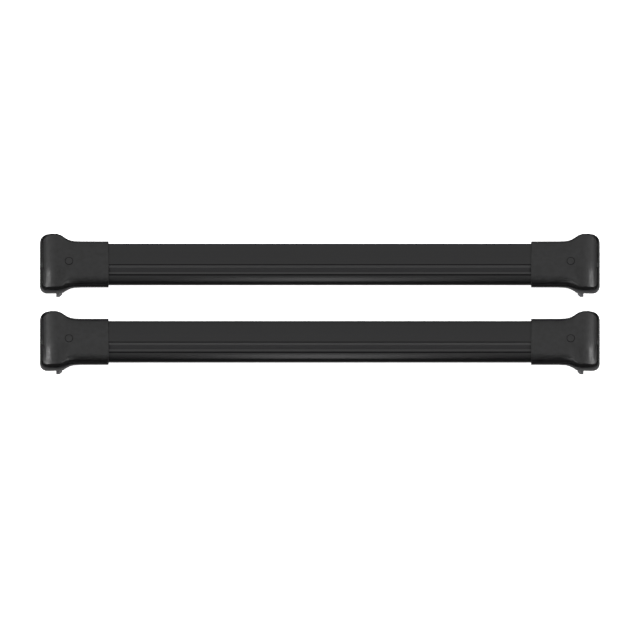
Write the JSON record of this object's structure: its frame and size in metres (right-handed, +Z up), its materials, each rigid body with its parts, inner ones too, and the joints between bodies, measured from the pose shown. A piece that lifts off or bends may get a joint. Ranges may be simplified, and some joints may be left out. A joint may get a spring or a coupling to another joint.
{
  "type": "pair of roof cross bars",
  "caption": "Black aluminium wing bars with rubber top strips and moulded end feet that clamp to raised roof rails by a screw-driven claw.",
  "frame": {"origin": "on the ground, under the middle of the pair", "axes": "+X along the bars, +Y to the rear of the vehicle, +Z up"},
  "size_m": [1.05, 0.2698, 0.0661],
  "materials": {
    "bar_aluminium": "black powder coat, satin",
    "strip_rubber": "extruded, matt",
    "cover_plastic": "moulded, fine grain",
    "base_plastic": "moulded, glass filled",
    "rubber": "moulded, matt",
    "claw_steel": "grey dip coat",
    "fastener_steel": "zinc plated"
  },
  "bodies": {
    "bars": {"front_bar_profile": "bar_aluminium", "front_slot_strip": "strip_rubber", "rear_bar_profile": "bar_aluminium", "rear_slot_strip": "strip_rubber", "front_left_foot_cover": "cover_plastic", "front_left_foot_base": "base_plastic", "front_left_saddle_pad": "rubber", "front_left_bolt_washer": "fastener_steel", "front_left_bolt_cap": "cover_plastic", "front_left_bar_screws": "fastener_steel", "front_right_foot_cover": "cover_plastic", "front_right_foot_base": "base_plastic", "front_right_saddle_pad": "rubber", "front_right_bolt_washer": "fastener_steel", "front_right_bolt_cap": "cover_plastic", "front_right_bar_screws": "fastener_steel", "rear_left_foot_cover": "cover_plastic", "rear_left_foot_base": "base_plastic", "rear_left_saddle_pad": "rubber", "rear_left_bolt_washer": "fastener_steel", "rear_left_bolt_cap": "cover_plastic", "rear_left_bar_screws": "fastener_steel", "rear_right_foot_cover": "cover_plastic", "rear_right_foot_base": "base_plastic", "rear_right_saddle_pad": "rubber", "rear_right_bolt_washer": "fastener_steel", "rear_right_bolt_cap": "cover_plastic", "rear_right_bar_screws": "fastener_steel"},
    "front_left_bolt": {"front_left_clamp_bolt": "fastener_steel"},
    "front_left_claw": {"front_left_clamp_claw": "claw_steel", "front_left_claw_pad": "rubber", "front_left_claw_nut": "fastener_steel"},
    "front_right_bolt": {"front_right_clamp_bolt": "fastener_steel"},
    "front_right_claw": {"front_right_clamp_claw": "claw_steel", "front_right_claw_pad": "rubber", "front_right_claw_nut": "fastener_steel"},
    "rear_left_bolt": {"rear_left_clamp_bolt": "fastener_steel"},
    "rear_left_claw": {"rear_left_clamp_claw": "claw_steel", "rear_left_claw_pad": "rubber", "rear_left_claw_nut": "fastener_steel"},
    "rear_right_bolt": {"rear_right_clamp_bolt": "fastener_steel"},
    "rear_right_claw": {"rear_right_clamp_claw": "claw_steel", "rear_right_claw_pad": "rubber", "rear_right_claw_nut": "fastener_steel"}
  },
  "joints": [
    {"name": "front_left_bolt_turn", "type": "hinge", "parent": "bars", "child": "front_left_bolt", "pos_m": [-0.4704, -0.08165, 0.048], "axis": [0, 0, 1], "range_deg": [0, 2880]},
    {"name": "front_left_claw_slide", "type": "slide", "parent": "bars", "child": "front_left_claw", "axis": [0, 0, -1], "range_m": [0, 0.01]},
    {"name": "front_right_bolt_turn", "type": "hinge", "parent": "bars", "child": "front_right_bolt", "pos_m": [0.4704, -0.08165, 0.048], "axis": [0, 0, 1], "range_deg": [0, 2880]},
    {"name": "front_right_claw_slide", "type": "slide", "parent": "bars", "child": "front_right_claw", "axis": [0, 0, -1], "range_m": [0, 0.01]},
    {"name": "rear_left_bolt_turn", "type": "hinge", "parent": "bars", "child": "rear_left_bolt", "pos_m": [-0.4704, 0.07265, 0.048], "axis": [0, 0, 1], "range_deg": [0, 2880]},
    {"name": "rear_left_claw_slide", "type": "slide", "parent": "bars", "child": "rear_left_claw", "axis": [0, 0, -1], "range_m": [0, 0.01]},
    {"name": "rear_right_bolt_turn", "type": "hinge", "parent": "bars", "child": "rear_right_bolt", "pos_m": [0.4704, 0.07265, 0.048], "axis": [0, 0, 1], "range_deg": [0, 2880]},
    {"name": "rear_right_claw_slide", "type": "slide", "parent": "bars", "child": "rear_right_claw", "axis": [0, 0, -1], "range_m": [0, 0.01]}
  ],
  "couplings": [
    {"joint": "front_left_bolt_turn", "follows": "front_left_claw_slide", "rad_per_m": 5026.5},
    {"joint": "front_right_bolt_turn", "follows": "front_right_claw_slide", "rad_per_m": 5026.5},
    {"joint": "rear_left_bolt_turn", "follows": "rear_left_claw_slide", "rad_per_m": 5026.5},
    {"joint": "rear_right_bolt_turn", "follows": "rear_right_claw_slide", "rad_per_m": 5026.5}
  ]
}
